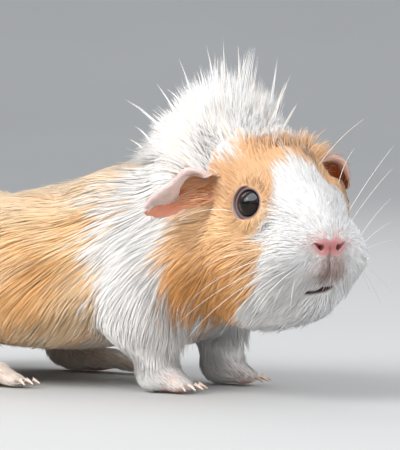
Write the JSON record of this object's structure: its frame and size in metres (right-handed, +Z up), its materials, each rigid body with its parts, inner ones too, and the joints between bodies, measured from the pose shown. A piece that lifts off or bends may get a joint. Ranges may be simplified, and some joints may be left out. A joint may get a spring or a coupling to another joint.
{
  "type": "guinea pig",
  "caption": "Life-size still model of a long-coated, crested guinea pig, standing low with its head turned to its right.",
  "frame": {"origin": "on the floor, under the middle of the model's box", "axes": "+X forwards along the trunk, +Y to the animal's left, +Z up"},
  "size_m": [0.2258, 0.099, 0.1195],
  "materials": {
    "white_coat": "soft white and cream-white hair",
    "cream_coat": "soft peach-orange hair on the trunk",
    "orange_coat": "short apricot hair with a white blaze",
    "bare_skin": "thin pink skin with fine down",
    "eye": "wet glossy black-brown",
    "claw": "translucent horn, satin"
  },
  "bodies": {
    "root": {"barrel": "cream_coat", "claw_forefoot_left_1": "claw", "claw_forefoot_left_2": "claw", "claw_forefoot_left_3": "claw", "claw_forefoot_left_4": "claw", "claw_forefoot_right_1": "claw", "claw_forefoot_right_2": "claw", "claw_forefoot_right_3": "claw", "claw_forefoot_right_4": "claw", "claw_hindfoot_left_1": "claw", "claw_hindfoot_left_2": "claw", "claw_hindfoot_left_3": "claw", "claw_hindfoot_right_1": "claw", "claw_hindfoot_right_2": "claw", "claw_hindfoot_right_3": "claw", "crest": "white_coat", "ear_left": "bare_skin", "ear_right": "bare_skin", "eye_left": "eye", "eye_right": "eye", "forefoot_left": "bare_skin", "forefoot_right": "bare_skin", "foreleg_left": "white_coat", "foreleg_right": "white_coat", "head": "orange_coat", "hindfoot_left": "bare_skin", "hindfoot_right": "bare_skin", "jaw": "white_coat", "neck": "white_coat", "nose": "bare_skin", "rump": "cream_coat", "shoulders": "white_coat", "thigh_left": "cream_coat", "thigh_right": "cream_coat"}
  },
  "joints": []
}
